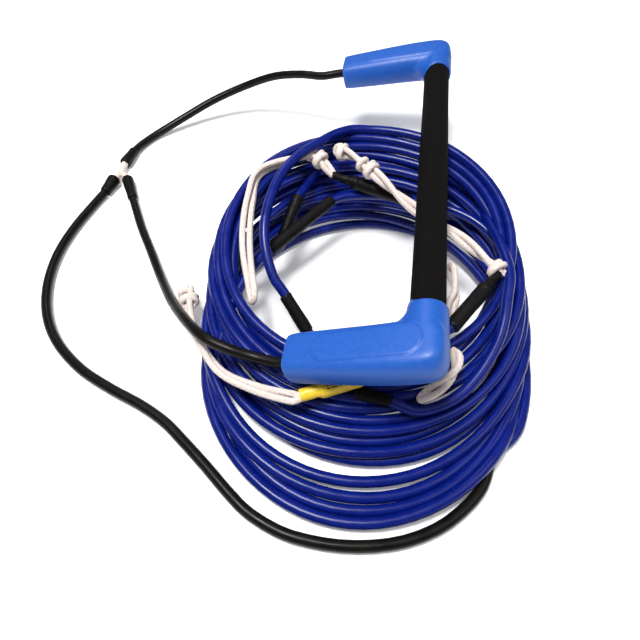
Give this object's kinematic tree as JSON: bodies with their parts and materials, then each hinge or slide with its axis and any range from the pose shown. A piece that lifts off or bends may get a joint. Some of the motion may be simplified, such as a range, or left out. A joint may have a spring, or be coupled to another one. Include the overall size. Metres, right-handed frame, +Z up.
{
  "type": "tow rope handle",
  "caption": "Tow rope handle for barefoot water skiing: foam grip, blue rubber elbow caps, black legs and trunk, on a loose coil of blue line.",
  "frame": {"origin": "centre of the handle's box: grip, bar and both end caps, without the line", "axes": "+Y along the bar from the near cap to the far cap, +Z up from the surface that the coil lies on, +X from the cap mouths towards the bar"},
  "size_m": [0.4857, 0.5452, 0.1164],
  "materials": {
    "blue_rubber": "satin",
    "black_foam": "matte",
    "bar_aluminium": "satin",
    "white_nylon": "satin",
    "white_braid": "matte",
    "black_line": "gloss",
    "black_shrink": "satin",
    "blue_line": "gloss",
    "yellow_shrink": "satin"
  },
  "bodies": {
    "line": {"near_leg": "black_line", "far_leg": "black_line", "trunk_line": "black_line", "drop_line": "blue_line", "y_core": "white_braid", "y_trunk_sleeve": "black_shrink", "y_near_sleeve": "black_shrink", "y_far_sleeve": "black_shrink", "far_loop_sleeve": "black_shrink", "left_wall_sleeve": "black_shrink", "ribbed_sleeve": "black_shrink", "right_sleeve": "black_shrink", "drop_sleeve": "black_shrink", "under_sleeve": "black_shrink", "warning_sleeve": "yellow_shrink", "crossing_loop": "white_braid", "left_loop": "white_braid", "warning_loop": "white_braid", "short_loop": "white_braid", "tail_loop": "white_braid", "lower_coil": "blue_line", "middle_coil": "blue_line", "upper_coil": "blue_line"},
    "handle": {"near_cap": "blue_rubber", "far_cap": "blue_rubber", "core_rope": "white_nylon"},
    "bar": {"grip_sleeve": "black_foam", "bar_tube": "bar_aluminium", "near_tube_bush": "white_nylon", "far_tube_bush": "white_nylon"}
  },
  "joints": [
    {"name": "handle_swing", "type": "hinge", "parent": "line", "child": "handle", "pos_m": [-0.05669, 0, -0.01481], "axis": [0.017, -0.9985, -0.0517], "range_deg": [0, 45], "deforming": ["near_leg", "far_leg"]},
    {"name": "bar_turn", "type": "hinge", "parent": "handle", "child": "bar", "pos_m": [0.04536, 0, 0.01884], "axis": [0, 1, 0], "continuous": true}
  ]
}
